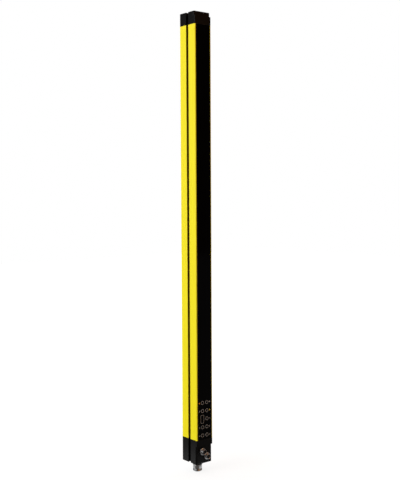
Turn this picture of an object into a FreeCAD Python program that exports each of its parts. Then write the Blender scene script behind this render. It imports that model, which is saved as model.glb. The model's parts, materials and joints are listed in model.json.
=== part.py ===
# Safety light curtain: an upright aluminium column that holds four optical receivers behind a dark
# window, closed by two moulded end caps, with its plug underneath and two sensor sockets in front.
#
# The origin is on the rear plane, in the middle of the rear T-slot's mouth, level with the underside
# of the bottom cap. +Z is up, +X is to the right for someone who faces the window, and the window
# faces -Y. All lengths are in millimetres.

import FreeCAD, Part
import Sketcher
import os
import re

Vector = FreeCAD.Vector

# Driving dimensions. Each one has a cell of its own in the sheet.
SIZES = {
    # column extrusion, seen in section
    "column_width": 50.0,
    "column_depth": 60.0,
    "column_length": 1027.0,
    "column_corner": 2.0,
    "column_wall": 1.8,
    "slot_mouth": 9.0,
    "slot_lip": 2.0,
    "slot_width": 14.0,
    "slot_depth": 7.0,
    "slot_wall": 1.8,
    "side_slot_from_front": 30.5,
    "front_lip_width": 2.6,
    "front_lip_thickness": 1.5,
    "ledge_width": 3.0,
    "ledge_thickness": 1.6,
    "port_bore": 3.6,
    "port_wall": 1.8,
    "port_from_edge": 4.8,
    "rib_height": 1.6,
    "rib_thickness": 1.0,
    # window and its seals
    "window_tongue": 2.0,
    "window_edge_gap": 0.2,
    "window_setback": 0.2,
    "window_rear_gap": 0.3,
    "seal_width": 2.6,
    "seal_thickness": 1.3,
    "groove_gap": 0.1,
    # end caps, their gaskets and screws
    "bottom_cap_height": 60.3,
    "bottom_flange_height": 14.3,
    "top_cap_height": 30.3,
    "top_flange_height": 19.3,
    "cap_setback": 3.5,
    "cap_front_corner": 4.0,
    "cap_edge_cut": 0.8,
    "cap_side_wall": 2.5,
    "cap_front_wall": 3.0,
    "cap_slot_wall": 2.0,
    "cap_floor": 4.0,
    "cap_rib_width": 20.0,
    "gasket_thickness": 0.7,
    "seat_thickness": 8.0,
    "screw_length": 20.0,
    "screw_shank": 3.5,
    "screw_head": 6.2,
    "screw_head_height": 4.0,
    "screw_hole_gap": 0.4,
    "head_hole": 7.6,
    "head_hole_wall": 1.1,
    # circuit boards
    "board_thickness": 1.6,
    "guide_gap": 0.1,
    "board_side_gap": 0.2,
    "board_end_gap": 0.5,
    "main_board_from_rear": 12.4,
    "indicator_board_from_front": 13.0,
    "control_board_start": 6.0,
    "control_board_length": 91.5,
    "board_split": 560.0,
    "buffer_thickness": 4.0,
    "board_link_width": 8.0,
    "board_link_length": 10.0,
    "board_link_height": 2.5,
    "waist_gap": 0.4,
    # beam modules
    "beam_first": 111.5,
    "beam_from_head": 15.5,
    "lens_side": 18.0,
    "lens_edge": 2.0,
    "lens_middle": 4.5,
    "lens_gap": 0.1,
    "lens_recess": 5.5,
    "lens_shoulder": 0.7,
    "tube_wall": 1.4,
    "tube_straight": 8.0,
    "tube_foot": 14.0,
    "tube_floor": 3.0,
    "detector_hole": 6.4,
    "detector_throat": 9.6,
    "detector_side": 4.0,
    "detector_height": 1.8,
    "amplifier_side": 6.0,
    "amplifier_height": 1.6,
    # lamps and display on the indicator board
    "lamp_count": 5,
    "lamp_first": 11.2,
    "lamp_pitch": 20.6,
    "lamp_from_middle": 7.0,
    "lamp_side": 3.4,
    "lamp_height": 2.0,
    "lamp_cell": 7.0,
    "display_width": 10.0,
    "display_height": 18.0,
    "display_thickness": 6.5,
    "display_gap": 0.3,
    "mask_width": 36.0,
    "mask_margin": 7.0,
    # parts on the control board
    "chip_side": 10.0,
    "chip_height": 1.4,
    "chip_first": 34.0,
    "chip_pitch": 16.0,
    "switch_width": 6.5,
    "switch_length": 6.0,
    "switch_height": 2.4,
    "switch_first": 26.0,
    "switch_pitch": 9.0,
    "capacitor_width": 4.3,
    "capacitor_length": 7.3,
    "capacitor_height": 2.8,
    "capacitor_first": 30.0,
    "capacitor_pitch": 12.0,
    # ribbons and their plugs
    "ribbon_width": 16.0,
    "ribbon_thickness": 1.0,
    "harness_from_rear": 21.0,
    "harness_top": 10.0,
    "plug_width": 18.0,
    "plug_height": 8.0,
    "harness_plug_depth": 6.0,
    "indicator_plug_depth": 4.0,
    "indicator_ribbon_at": 74.0,
    # main connector
    "connector_reach": 25.1,
    "connector_diameter": 23.0,
    "connector_flange_diameter": 26.0,
    "connector_flange_thickness": 2.3,
    "connector_neck_diameter": 21.0,
    "connector_neck_top": 10.0,
    "connector_hole_gap": 0.1,
    "connector_bore_diameter": 18.4,
    "connector_mouth_depth": 11.1,
    "connector_nut_across": 24.0,
    "connector_nut_thickness": 4.0,
    "insert_gap": 0.1,
    "insert_top": 12.0,
    "pin_diameter": 1.0,
    "pin_gap": 0.05,
    "pin_reach": 7.0,
    "outer_pin_circle": 13.6,
    "inner_pin_circle": 6.0,
    "connector_board_at": 14.0,
    "connector_board_width": 29.0,
    "connector_board_reach": 13.0,
    "connector_board_gap": 2.2,
    # sensor sockets
    "upper_socket_x": -5.7,
    "upper_socket_z": 30.7,
    "lower_socket_x": 7.8,
    "lower_socket_z": 17.6,
    "socket_reach": 10.0,
    "socket_barrel_diameter": 13.0,
    "socket_flange_diameter": 17.5,
    "socket_flange_thickness": 4.0,
    "socket_neck_diameter": 13.8,
    "socket_neck_length": 7.0,
    "socket_hole_gap": 0.1,
    "socket_bore_diameter": 11.2,
    "socket_nut_across": 16.0,
    "socket_nut_thickness": 3.0,
    "socket_nose_diameter": 8.4,
    "socket_nose_length": 6.6,
    "socket_insert_recess": 1.2,
    "socket_insert_length": 7.5,
    "contact_recess": 6.0,
    "contact_circle": 5.2,
    "socket_board_width": 40.0,
    "socket_board_top": 46.0,
    "socket_board_gap": 0.2,
    "header_width": 14.0,
    "header_height": 3.4,
    "header_depth": 6.0,
}

BEAMS = 4

# Places that several pieces share, worked out from the sizes. Those that end in _y are distances in
# front of the rear plane, and those that end in _z are heights.
PLACES = {
    "half_width": "column_width / 2",
    "inner_half": "half_width - column_wall",
    "slot_floor": "half_width - slot_depth",
    "waist_half": "slot_floor - slot_wall",
    "side_slot_y": "column_depth - side_slot_from_front",
    "side_slot_near_y": "side_slot_y - slot_width / 2",
    "side_slot_far_y": "side_slot_y + slot_width / 2",
    "rear_block_half": "slot_width / 2 + slot_wall",
    "rear_block_y": "slot_depth + slot_wall",
    "lip_y": "column_depth - front_lip_thickness",
    "tongue_front_y": "lip_y - groove_gap",
    "tongue_rear_y": "tongue_front_y - window_tongue",
    "ledge_front_y": "tongue_rear_y - seal_thickness",
    "ledge_rear_y": "ledge_front_y - ledge_thickness",
    "ledge_half": "inner_half - ledge_width",
    "port_x": "half_width - port_from_edge",
    "rear_port_y": "port_from_edge",
    "front_port_y": "side_slot_far_y + slot_wall + port_from_edge - column_wall",
    "port_reach": "port_bore / 2 + port_wall",
    "column_foot_z": "bottom_cap_height + gasket_thickness",
    "column_head_z": "column_foot_z + column_length",
    "top_cap_foot_z": "column_head_z + gasket_thickness",
    "cap_front_y": "column_depth - cap_setback",
    "head_hole_radius": "head_hole / 2",
    "corner_block": "head_hole_radius + head_hole_wall",
    "cap_waist_half": "min(slot_floor - cap_slot_wall; port_x - corner_block)",
    "cap_rear_y": "max(slot_depth + cap_slot_wall; rear_port_y + corner_block)",
    "cap_waist_near_y": "side_slot_near_y - cap_slot_wall",
    "cap_waist_far_y": "front_port_y + corner_block",
    "cap_inner_front_y": "cap_front_y - cap_front_wall",
    "cap_inner_half": "half_width - cap_side_wall",
    "board_front_y": "main_board_from_rear + board_thickness",
    "board_half": "inner_half - board_side_gap",
    "indicator_rear_y": "column_depth - indicator_board_from_front",
    "indicator_front_y": "indicator_rear_y + board_thickness",
    "control_board_z": "column_foot_z + control_board_start",
    "control_board_end_z": "control_board_z + control_board_length",
    "board_split_z": "column_foot_z + board_split",
    "link_x": "waist_half - waist_gap - board_link_width / 2",
    "switch_x": "waist_half - waist_gap - switch_width / 2",
    "capacitor_x": "waist_half - waist_gap - capacitor_width / 2",
    "amplifier_x": "waist_half - waist_gap - amplifier_side / 2",
    "upper_board_end_z": "column_head_z - control_board_start",
    "tube_length": "tongue_rear_y - window_rear_gap - board_front_y",
    "tube_side": "lens_side + 2 * (lens_gap + tube_wall)",
    "beam_pitch": f"(column_length - beam_first - beam_from_head) / {BEAMS - 1}",
    "connector_y": "column_depth / 2",
    "connector_face_z": "connector_mouth_depth - connector_reach",
    "connector_board_top_z": "connector_board_at + board_thickness",
    "socket_board_front": "cap_front_y - cap_waist_far_y - socket_board_gap - board_thickness",
    "display_z": "column_foot_z + lamp_first + lamp_pitch * (lamp_count - 1) / 2",
    "control_plug_z": "column_foot_z + harness_top",
    "indicator_ribbon_z": "column_foot_z + indicator_ribbon_at",
}

OVERRUN = 1.0  # how far a cut starts outside the face that it opens

doc = FreeCAD.newDocument("safety_light_curtain")
sheet = doc.addObject("Spreadsheet::Sheet", "Sizes")
for row, (name, number) in enumerate(SIZES.items(), start=1):
    sheet.set(f"A{row}", name)
    sheet.set(f"B{row}", str(number))
    sheet.setAlias(f"B{row}", name)
doc.recompute()

pieces = []


# --- expressions, sketches and features ---

# The text of a length with every size and place put in terms of the sheet's cells.
def formula(text):
    def cell(match):
        word = match.group()
        if word in SIZES:
            return "Sizes." + word
        if word in PLACES:
            return "(" + formula(PLACES[word]) + ")"
        return word

    return re.sub(r"[a-z_]+", cell, text)


def value(text):
    return float(sheet.evalExpression(formula(text)))


def bind(thing, **lengths):
    for name, text in lengths.items():
        thing.setExpression(name.replace("__", "."), formula(text))


def place(thing, x="0", y="0", z="0"):
    bind(thing, Placement__Base__x=x, Placement__Base__y=y, Placement__Base__z=z)


# A body of its own for one piece. Its Label names its file.
def new_body(name, x="0", y="0", z="0", facing_front=False):
    body = doc.addObject("PartDesign::Body", name)
    body.Label = name
    if facing_front:
        # Local +Z points out of the window, along -Y, and local +Y points up.
        body.Placement.Rotation = FreeCAD.Rotation(Vector(1, 0, 0), 90)
    place(body, x, y, z)
    pieces.append(body)
    return body


def origin_plane(body, role):
    return next(part for part in body.Origin.OriginFeatures if part.Role == role)


def sketch_on(body, role="XY_Plane", height="0"):
    sketch = body.newObject("Sketcher::SketchObject", body.Name + "_sketch")
    sketch.AttachmentSupport = (origin_plane(body, role), [""])
    sketch.MapMode = "FlatFace"
    bind(sketch, AttachmentOffset__Base__z=height)
    return sketch


# Ties one point of a sketch to the sketch's origin by its two distances.
def tie(sketch, shape, point, x, y):
    for kind, text, axis in (("DistanceX", x, -2), ("DistanceY", y, -1)):
        if text == "0":
            sketch.addConstraint(Sketcher.Constraint("PointOnObject", shape, point, axis))
        else:
            constraint = Sketcher.Constraint(kind, -1, 1, shape, point, value(text))
            number = sketch.addConstraint(constraint)
            sketch.setExpression(f"Constraints[{number}]", formula(text))


def draw_polygon(sketch, corners):
    first = sketch.GeometryCount
    points = [Vector(value(x), value(y), 0) for x, y in corners]
    for start, end in zip(points, points[1:] + points[:1]):
        sketch.addGeometry(Part.LineSegment(start, end), False)
    for step, (x, y) in enumerate(corners):
        following = first + (step + 1) % len(corners)
        sketch.addConstraint(Sketcher.Constraint("Coincident", first + step, 2, following, 1))
        tie(sketch, first + step, 1, x, y)


def draw_box(sketch, left, right, low, high):
    draw_polygon(sketch, [(left, low), (right, low), (right, high), (left, high)])


def draw_circle(sketch, x, y, radius):
    circle = Part.Circle(Vector(value(x), value(y), 0), Vector(0, 0, 1), value(radius))
    shape = sketch.addGeometry(circle, False)
    number = sketch.addConstraint(Sketcher.Constraint("Radius", shape, value(radius)))
    sketch.setExpression(f"Constraints[{number}]", formula(radius))
    tie(sketch, shape, 3, x, y)


def draw_around(sketch, x, y, ring):
    if x != "0" or y != "0":
        ring = [(f"{x} + {across}", f"{y} + {up}") for across, up in ring]
    draw_polygon(sketch, ring)


def draw_hexagon(sketch, across, x="0", y="0"):
    far = f"({across}) / 2 / cos(30)"
    near = f"({across}) / 4 / cos(30)"
    side = f"({across}) / 2"
    draw_around(sketch, x, y, [
        (far, "0"), (near, side), ("-" + near, side), ("-" + far, "0"), ("-" + near, "-" + side),
        (near, "-" + side)])


# Pins, screw shanks and the holes for them have eight flats: there are many of them, and none is
# wider than 4 mm.
def draw_octagon(sketch, across, x="0", y="0"):
    far = f"({across}) / 2"
    near = f"({across}) / 2 * tan(22.5)"
    draw_around(sketch, x, y, [
        (far, near), (near, far), ("-" + near, far), ("-" + far, near), ("-" + far, "-" + near),
        ("-" + near, "-" + far), (near, "-" + far), (far, "-" + near)])


# The right half of a symmetric outline, from its first corner to its last, and its mirror image.
def both_sides(right_half):
    return right_half + [("-(" + x + ")", y) for x, y in reversed(right_half)]


def pad(body, sketch, length):
    feature = body.newObject("PartDesign::Pad", body.Name + "_pad")
    feature.Profile = sketch
    bind(feature, Length=length)
    doc.recompute()
    return feature


# Cuts upwards from the sketch, and makes sure that something was cut.
def pocket(body, sketch, length):
    before = body.Shape.Volume
    feature = body.newObject("PartDesign::Pocket", body.Name + "_pocket")
    feature.Profile = sketch
    feature.Reversed = True
    bind(feature, Length=length)
    doc.recompute()
    if body.Shape.Volume >= before:
        raise ValueError(feature.Name + " cuts nothing")
    return feature


def revolve(body, corners):
    sketch = sketch_on(body, "XZ_Plane")
    draw_polygon(sketch, corners)
    feature = body.newObject("PartDesign::Revolution", body.Name + "_turned")
    feature.Profile = sketch
    feature.ReferenceAxis = (sketch, ["V_Axis"])
    feature.Angle = 360
    doc.recompute()
    return feature


def ring_of(body, feature, count):
    pattern = body.newObject("PartDesign::PolarPattern", body.Name + "_ring")
    pattern.Originals = [feature]
    pattern.Axis = (origin_plane(body, "Z_Axis"), [""])
    pattern.Angle = 360
    pattern.Occurrences = count
    body.Tip = pattern
    doc.recompute()


# Repeats features along one of the body's axes. Length runs from the first to the last.
def row_of(body, features, axis, length, count, backwards=False):
    pattern = body.newObject("PartDesign::LinearPattern", body.Name + "_row")
    pattern.Originals = features
    pattern.Direction = (origin_plane(body, axis), [""])
    pattern.Reversed = backwards
    bind(pattern, Length=length)
    pattern.Occurrences = count
    body.Tip = pattern
    doc.recompute()


def fillet(body, base, edges, radius):
    feature = body.newObject("PartDesign::Fillet", body.Name + "_round")
    feature.Base = (base, edges)
    bind(feature, Radius=radius)
    doc.recompute()


def chamfer(body, base, edges, size):
    feature = body.newObject("PartDesign::Chamfer", body.Name + "_edge")
    feature.Base = (base, edges)
    bind(feature, Size=size)
    doc.recompute()


def upright_edges(feature, test):
    names = []
    for number, edge in enumerate(feature.Shape.Edges, start=1):
        start, end = edge.Vertexes[0].Point, edge.Vertexes[-1].Point
        if abs(start.x - end.x) + abs(start.y - end.y) < 1e-6 and test(start):
            names.append(f"Edge{number}")
    return names


def face_at_height(feature, height):
    for number, face in enumerate(feature.Shape.Faces, start=1):
        box = face.BoundBox
        if abs(box.ZMin - height) < 1e-6 and abs(box.ZMax - height) < 1e-6:
            return f"Face{number}"
    raise ValueError(f"{feature.Name} has no face at {height}")


def box(name, x, y, z, width, depth, height):
    piece = doc.addObject("Part::Box", name)
    piece.Label = name
    bind(piece, Length=width, Width=depth, Height=height)
    place(piece, x, y, z)
    return piece


# A block that is one piece by itself.
def block(name, *lengths):
    pieces.append(box(name, *lengths))


# Several separate solids that share one node and one file.
def group(name, members):
    compound = doc.addObject("Part::Compound", name)
    compound.Label = name
    compound.Links = members
    pieces[:] = [piece for piece in pieces if piece not in members]
    pieces.append(compound)


# --- outlines that the column, the caps and the gaskets share ---

def draw_t_slots(sketch):
    outside = f"half_width + {OVERRUN}"
    under_lip = "half_width - slot_lip"
    for sign in ("", "-"):
        draw_polygon(sketch, [(f"{sign}({x})", f"-(side_slot_y {y})") for x, y in [
            (outside, "- slot_mouth / 2"), (outside, "+ slot_mouth / 2"),
            (under_lip, "+ slot_mouth / 2"), (under_lip, "+ slot_width / 2"),
            ("slot_floor", "+ slot_width / 2"), ("slot_floor", "- slot_width / 2"),
            (under_lip, "- slot_width / 2"), (under_lip, "- slot_mouth / 2"),
        ]])
    draw_polygon(sketch, both_sides([
        ("slot_mouth / 2", f"{OVERRUN}"), ("slot_mouth / 2", "-slot_lip"),
        ("slot_width / 2", "-slot_lip"), ("slot_width / 2", "-slot_depth"),
    ]))


def draw_at_ports(sketch, across):
    for x in ("port_x", "-port_x"):
        for y in ("-rear_port_y", "-front_port_y"):
            draw_octagon(sketch, across, x, y)


# The hollow of a cap: a rear chamber, a waist between the side slots and a front chamber. It leaves
# a solid block in each corner for a screw.
def draw_cap_hollow(sketch, front="cap_inner_front_y"):
    draw_polygon(sketch, both_sides([
        ("cap_inner_half", "-cap_rear_y"), ("cap_inner_half", "-cap_waist_near_y"),
        ("cap_waist_half", "-cap_waist_near_y"), ("cap_waist_half", "-cap_waist_far_y"),
        ("cap_inner_half", "-cap_waist_far_y"), ("cap_inner_half", f"-{front}"),
    ]))


# An upright slab with the column's outline, or with its front face set back.
def outline_slab(body, foot, height, setback="0", front_corner="column_corner"):
    sketch = sketch_on(body, height=foot)
    draw_box(sketch, "-half_width", "half_width", f"-(column_depth - {setback})", "0")
    slab = pad(body, sketch, height)
    middle = -value("column_depth") / 2
    front = upright_edges(slab, lambda point: point.y < middle)
    fillet(body, slab, front, front_corner)
    rounded = body.Tip
    rear = upright_edges(rounded, lambda point: point.y > middle)
    rear = [name for name in rear if rounded.Shape.getElement(name).Vertexes[0].Point.y > -1e-6]
    fillet(body, rounded, rear, "column_corner")


# --- column, window and seals ---

def make_column():
    body = new_body("column_profile", z="column_foot_z")
    outline_slab(body, "0", "column_length")
    hollow = sketch_on(body)
    draw_polygon(hollow, both_sides([
        ("rear_block_half", "-column_wall"), ("waist_half", "-column_wall"),
        ("waist_half", "-(rear_port_y + port_bore / 2)"),
        ("waist_half + port_wall", "-(rear_port_y + port_reach)"),
        ("inner_half", "-(rear_port_y + port_reach)"),
        ("inner_half", "-(side_slot_near_y - slot_wall)"),
        ("waist_half", "-(side_slot_near_y - slot_wall)"),
        ("waist_half", "-(front_port_y + port_bore / 2)"),
        ("waist_half + port_wall", "-(front_port_y + port_reach)"),
        ("inner_half", "-(front_port_y + port_reach)"),
        ("inner_half", "-ledge_rear_y"), ("ledge_half", "-ledge_rear_y"),
        ("ledge_half", "-ledge_front_y"), ("inner_half", "-ledge_front_y"),
        ("inner_half", "-lip_y"), ("half_width - front_lip_width", "-lip_y"),
        ("half_width - front_lip_width", f"-(column_depth + {OVERRUN})"),
    ]) + [("-rear_block_half", "-rear_block_y"), ("rear_block_half", "-rear_block_y")])
    pocket(body, hollow, "column_length")
    ribs = sketch_on(body)
    for board_y in ("main_board_from_rear", "indicator_rear_y"):
        for side in ("", "-"):
            near = f"-({board_y} - guide_gap)"
            far = f"-({board_y} + board_thickness + guide_gap)"
            inner = f"{side}(inner_half - rib_height)"
            root = f"{side}(inner_half + column_wall / 2)"
            draw_box(ribs, inner, root, near, f"{near} + rib_thickness")
            draw_box(ribs, inner, root, f"{far} - rib_thickness", far)
    pad(body, ribs, "column_length")
    slots = sketch_on(body)
    draw_t_slots(slots)
    pocket(body, slots, "column_length")
    bores = sketch_on(body)
    draw_at_ports(bores, "port_bore")
    pocket(body, bores, "column_length")


# The window's tongues lie in the column's front grooves, and its middle stands forward between the
# lips, almost level with them.
def make_window():
    body = new_body("front_window", z="column_foot_z")
    section = sketch_on(body)
    draw_polygon(section, both_sides([
        ("inner_half - window_edge_gap", "-tongue_rear_y"),
        ("inner_half - window_edge_gap", "-tongue_front_y"),
        ("half_width - front_lip_width - window_edge_gap", "-tongue_front_y"),
        ("half_width - front_lip_width - window_edge_gap", "-(column_depth - window_setback)"),
    ]))
    pad(body, section, "column_length")


def make_seals():
    for name, side in (("window_seal_left", "-"), ("window_seal_right", "")):
        body = new_body(name, z="column_foot_z")
        section = sketch_on(body)
        outer = f"{side}(inner_half - window_edge_gap)"
        inner = f"{side}(inner_half - window_edge_gap - seal_width)"
        draw_box(section, inner, outer, "-tongue_rear_y", "-ledge_front_y")
        pad(body, section, "column_length")


# --- end caps, gaskets and screws ---

# Breaks the edge of the cap's closed end, cuts its hollow and lets the column's slots run through.
def finish_cap(body, closed_end, height, hollow_foot, hollow_height, rib_foot, rib_height):
    end = face_at_height(body.Tip, value(closed_end))
    chamfer(body, body.Tip, [end], "cap_edge_cut")
    hollow = sketch_on(body, height=hollow_foot)
    draw_cap_hollow(hollow)
    pocket(body, hollow, hollow_height)
    rib = sketch_on(body, height=rib_foot)
    middle = "(main_board_from_rear + board_thickness / 2)"
    draw_box(rib, "-cap_rib_width / 2", "cap_rib_width / 2",
             f"-({middle} + buffer_thickness / 2)", f"-({middle} - buffer_thickness / 2)")
    pad(body, rib, rib_height)
    slots = sketch_on(body, height=f"-{OVERRUN}")
    draw_t_slots(slots)
    pocket(body, slots, f"{height} + {2 * OVERRUN}")
    shanks = sketch_on(body, height=f"-{OVERRUN}")
    draw_at_ports(shanks, "screw_shank + screw_hole_gap")
    pocket(body, shanks, f"{height} + {2 * OVERRUN}")


def make_bottom_cap():
    body = new_body("bottom_cap")
    outline_slab(body, "0", "bottom_cap_height", "cap_setback", "cap_front_corner")
    add_flange(body, "bottom_cap_height - bottom_flange_height", "bottom_flange_height")
    finish_cap(body, "0", "bottom_cap_height", "cap_floor", "bottom_cap_height",
               "cap_floor", "bottom_cap_height - cap_floor")
    cut_head_holes(body, f"-{OVERRUN}", f"bottom_cap_height - seat_thickness + {OVERRUN}")
    plug_hole = sketch_on(body, height=f"-{OVERRUN}")
    draw_circle(plug_hole, "0", "-connector_y", "connector_neck_diameter / 2 + connector_hole_gap")
    pocket(body, plug_hole, f"cap_floor + {2 * OVERRUN}")
    socket_holes = sketch_on(body, "XZ_Plane", f"cap_inner_front_y - {OVERRUN}")
    for socket in ("upper", "lower"):
        draw_circle(socket_holes, f"{socket}_socket_x", f"{socket}_socket_z",
                    "socket_neck_diameter / 2 + socket_hole_gap")
    pocket(body, socket_holes, f"cap_front_wall + {2 * OVERRUN}")


def make_top_cap():
    body = new_body("top_cap", z="top_cap_foot_z")
    outline_slab(body, "0", "top_cap_height", "cap_setback", "cap_front_corner")
    add_flange(body, "0", "top_flange_height")
    finish_cap(body, "top_cap_height", "top_cap_height", f"-{OVERRUN}",
               f"top_cap_height - cap_floor + {OVERRUN}", "0", "top_cap_height - cap_floor")
    cut_head_holes(body, "seat_thickness", "top_cap_height")


# The step that carries a cap's set-back front out to the column's front, with the column's corners.
def add_flange(body, foot, height):
    sketch = sketch_on(body, height=foot)
    rear = "-(column_depth - cap_setback - cap_front_corner - cap_front_wall)"
    draw_box(sketch, "-half_width", "half_width", "-column_depth", rear)
    flange = pad(body, sketch, height)
    front = -value("column_depth") + 1e-6
    fillet(body, flange, upright_edges(flange, lambda point: point.y < front), "column_corner")


def cut_head_holes(body, foot, height):
    heads = sketch_on(body, height=foot)
    for x in ("port_x", "-port_x"):
        for y in ("-rear_port_y", "-front_port_y"):
            draw_circle(heads, x, y, "head_hole_radius")
    pocket(body, heads, height)


def make_gasket(name, foot):
    body = new_body(name, z=foot)
    outline_slab(body, "0", "gasket_thickness")
    openings = sketch_on(body, height=f"-{OVERRUN}")
    draw_cap_hollow(openings)
    draw_t_slots(openings)
    draw_at_ports(openings, "screw_shank + screw_hole_gap")
    pocket(body, openings, f"gasket_thickness + {2 * OVERRUN}")
    return body


# Four hexagon-head screws. Heads and shanks start from the seat under the heads.
def make_screws(name, seat, points_up):
    body = new_body(name, z=seat)
    heads = sketch_on(body, height="-screw_head_height" if points_up else "0")
    shanks = sketch_on(body, height="0" if points_up else "-screw_length")
    for x in ("port_x", "-port_x"):
        for y in ("-rear_port_y", "-front_port_y"):
            draw_hexagon(heads, "screw_head", x, y)
            draw_octagon(shanks, "screw_shank", x, y)
    pad(body, heads, "screw_head_height")
    pad(body, shanks, "screw_length")
    return body


# --- main connector ---

def make_connector_shell():
    body = new_body("main_connector_shell", y="-connector_y")
    barrel = "connector_diameter / 2"
    flange = "connector_flange_diameter / 2"
    neck = "connector_neck_diameter / 2"
    bore = "connector_bore_diameter / 2"
    revolve(body, [
        (bore, "-connector_reach"), (barrel, "-connector_reach"),
        (barrel, "-connector_flange_thickness"), (flange, "-connector_flange_thickness"),
        (flange, "0"), (neck, "0"), (neck, "connector_neck_top"), (bore, "connector_neck_top"),
    ])


# Twelve places: a middle one, an inner ring of three and an outer ring of eight.
def each_pin_ring(body, height, across, feature):
    for circle, count in (("outer_pin_circle", 8), ("inner_pin_circle", 3)):
        sketch = sketch_on(body, height=height)
        draw_octagon(sketch, across, f"{circle} / 2")
        ring_of(body, feature(sketch), count)
    sketch = sketch_on(body, height=height)
    draw_octagon(sketch, across)
    feature(sketch)


def make_connector_insert():
    body = new_body("main_connector_insert", y="-connector_y")
    core = sketch_on(body, height="connector_face_z")
    draw_circle(core, "0", "0", "connector_bore_diameter / 2 - insert_gap")
    pad(body, core, "insert_top - connector_face_z")
    each_pin_ring(body, f"connector_face_z - {OVERRUN}", "pin_diameter + 2 * pin_gap",
                  lambda sketch: pocket(body, sketch,
                                        f"insert_top - connector_face_z + {2 * OVERRUN}"))


def make_connector_pins():
    body = new_body("main_connector_pins", y="-connector_y")
    tip = "connector_face_z - pin_reach"
    each_pin_ring(body, tip, "pin_diameter",
                  lambda sketch: pad(body, sketch, f"connector_board_at - ({tip})"))


def make_connector_nut():
    nut = new_body("main_connector_nut", y="-connector_y", z="cap_floor")
    sketch = sketch_on(nut)
    draw_hexagon(sketch, "connector_nut_across")
    draw_circle(sketch, "0", "0", "connector_neck_diameter / 2 + connector_hole_gap / 2")
    pad(nut, sketch, "connector_nut_thickness")
    return nut


# --- sensor sockets, in a local frame whose +Z runs out of the cap's front face ---

def make_socket(side):
    where = {"x": f"{side}_socket_x", "y": "-cap_front_y", "z": f"{side}_socket_z",
             "facing_front": True}
    neck = "socket_neck_diameter / 2"
    flange = "socket_flange_diameter / 2"
    barrel = "socket_barrel_diameter / 2"
    bore = "socket_bore_diameter / 2"
    shell = new_body(f"{side}_socket_shell", **where)
    revolve(shell, [
        (bore, "-socket_neck_length"), (neck, "-socket_neck_length"), (neck, "0"), (flange, "0"),
        (flange, "socket_flange_thickness"), (barrel, "socket_flange_thickness"),
        (barrel, "socket_reach"), (bore, "socket_reach"),
    ])

    insert = new_body(f"{side}_socket_insert", **where)
    body_radius = f"{bore} - insert_gap"
    nose = "socket_nose_diameter / 2"
    face = "socket_reach - socket_insert_recess"
    revolve(insert, [
        ("0", "-socket_insert_length"), (body_radius, "-socket_insert_length"),
        (body_radius, f"{face} - socket_nose_length"), (nose, f"{face} - socket_nose_length"),
        (nose, face), ("0", face),
    ])
    holes = sketch_on(insert, height=f"-(socket_insert_length + {OVERRUN})")
    draw_contacts(holes, "pin_diameter + 2 * pin_gap")
    pocket(insert, holes, f"socket_insert_length + {face} + {2 * OVERRUN}")

    contacts = new_body(f"{side}_socket_contacts", **where)
    sketch = sketch_on(contacts, height="-socket_board_front")
    draw_contacts(sketch, "pin_diameter")
    pad(contacts, sketch, f"socket_board_front + {face} - contact_recess")


def make_socket_nut(side):
    nut = new_body(f"{side}_socket_nut", f"{side}_socket_x", "-cap_front_y", f"{side}_socket_z",
                   facing_front=True)
    sketch = sketch_on(nut, height="-(cap_front_wall + socket_nut_thickness)")
    draw_hexagon(sketch, "socket_nut_across")
    draw_circle(sketch, "0", "0", "socket_neck_diameter / 2 + socket_hole_gap / 2")
    pad(nut, sketch, "socket_nut_thickness")
    return nut


def draw_contacts(sketch, across):
    draw_octagon(sketch, across)
    for x, y in (("contact_circle / 2", "0"), ("-contact_circle / 2", "0"),
                 ("0", "contact_circle / 2"), ("0", "-contact_circle / 2")):
        draw_octagon(sketch, across, x, y)


# --- boards, ribbons and what they carry ---

def make_cap_boards():
    front = "cap_waist_far_y - connector_board_gap"
    rear = "connector_y - connector_board_reach"
    block("connector_board", "-connector_board_width / 2", f"-({front})", "connector_board_at",
          "connector_board_width", f"{front} - ({rear})", "board_thickness")
    block("socket_board", "-socket_board_width / 2",
          "-(cap_waist_far_y + socket_board_gap + board_thickness)", "cap_floor + board_end_gap",
          "socket_board_width", "board_thickness", "socket_board_top - cap_floor - board_end_gap")
    block("socket_board_header", "-header_width / 2", "-(cap_waist_far_y + socket_board_gap)",
          "connector_board_top_z", "header_width", "header_depth", "header_height")


def make_main_boards():
    board_y = "-board_front_y"
    width = "2 * board_half"
    block("control_board", "-board_half", board_y, "control_board_z", width,
          "board_thickness", "control_board_length")
    block("sensor_board_lower", "-board_half", board_y, "control_board_end_z + board_end_gap",
          width, "board_thickness", "board_split_z - control_board_end_z - board_end_gap")
    block("sensor_board_upper", "-board_half", board_y, "board_split_z + board_end_gap", width,
          "board_thickness", "upper_board_end_z - board_split_z - board_end_gap")
    group("board_links", [
        box(f"board_link_at_{name}", "-link_x - board_link_width / 2",
            "-(board_front_y + board_link_height)",
            f"{joint} + board_end_gap / 2 - board_link_length / 2",
            "board_link_width", "board_link_height", "board_link_length")
        for name, joint in (("control", "control_board_end_z"), ("split", "board_split_z"))])
    rubber_y = "-(main_board_from_rear + board_thickness / 2 + buffer_thickness / 2)"
    block("board_buffer_lower", "-cap_rib_width / 2", rubber_y, "bottom_cap_height",
          "cap_rib_width", "buffer_thickness", "control_board_z - bottom_cap_height")
    block("board_buffer_upper", "-cap_rib_width / 2", rubber_y, "upper_board_end_z",
          "cap_rib_width", "buffer_thickness", "top_cap_foot_z - upper_board_end_z")


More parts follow.
